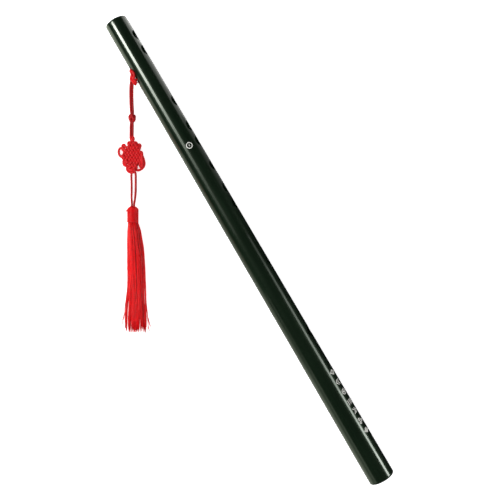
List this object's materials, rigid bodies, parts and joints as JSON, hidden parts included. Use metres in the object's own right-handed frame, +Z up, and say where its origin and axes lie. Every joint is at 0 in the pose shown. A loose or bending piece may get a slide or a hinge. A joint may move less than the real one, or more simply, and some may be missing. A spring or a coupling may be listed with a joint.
{
  "type": "transverse flute",
  "caption": "Side-blown tapering flute tube in dark green lacquer, with a cork stopper, and a knotted red cord and tassel tied through its wall near the foot.",
  "frame": {"origin": "on the surface that the flute lies on, under the middle of the tube's length", "axes": "+X along the tube towards its foot end, +Z up from the surface, -Y the side that the finger holes look towards"},
  "size_m": [0.416, 0.128, 0.0208],
  "materials": {
    "lacquered_bamboo": "glossy very dark green lacquer over bamboo, bare bamboo colour nowhere visible",
    "cork": "raw cork, matte and granular",
    "red_cord": "round braided red cord with a soft satin sheen",
    "red_thread": "fine red rayon threads, silky"
  },
  "bodies": {
    "flute": {"flute_tube": "lacquered_bamboo", "head_stopper": "cork", "hanging_loop": "red_cord"},
    "hitch": {"hitch_knot": "red_cord"},
    "hanger": {"hanger_strand_left": "red_cord", "hanger_strand_right": "red_cord", "button_knot": "red_cord"},
    "knot": {"neck_strand_left": "red_cord", "neck_strand_right": "red_cord", "mystic_knot": "red_cord", "knot_loop_left": "red_cord", "knot_loop_upper_left": "red_cord", "knot_loop_lower_left": "red_cord", "knot_loop_bottom": "red_cord", "knot_loop_lower_right": "red_cord", "knot_loop_right": "red_cord", "knot_loop_upper_right": "red_cord", "drop_strand_left": "red_cord", "drop_strand_right": "red_cord"},
    "tassel": {"tassel_head": "red_thread", "tassel_binding": "red_thread", "tassel_skirt": "red_thread"}
  },
  "joints": [
    {"name": "pendant_swing", "type": "hinge", "parent": "flute", "child": "hitch", "pos_m": [0.1606, 0.01187, 0.01027], "axis": [0, 0, 1], "range_deg": [-120, 10]},
    {"name": "pendant_lift", "type": "hinge", "parent": "hitch", "child": "hanger", "pos_m": [0.1606, 0.01187, 0.01027], "axis": [0.506, 0.8625, 0], "range_deg": [0, 90]},
    {"name": "knot_swing", "type": "hinge", "parent": "hanger", "child": "knot", "pos_m": [0.13728, 0.02746, 0.00285], "axis": [0, 0, 1], "range_deg": [-30, 10]},
    {"name": "tassel_swing", "type": "hinge", "parent": "knot", "child": "tassel", "pos_m": [0.07222, 0.06448, 0.0043], "axis": [0, 0, 1], "range_deg": [-60, 15]}
  ]
}
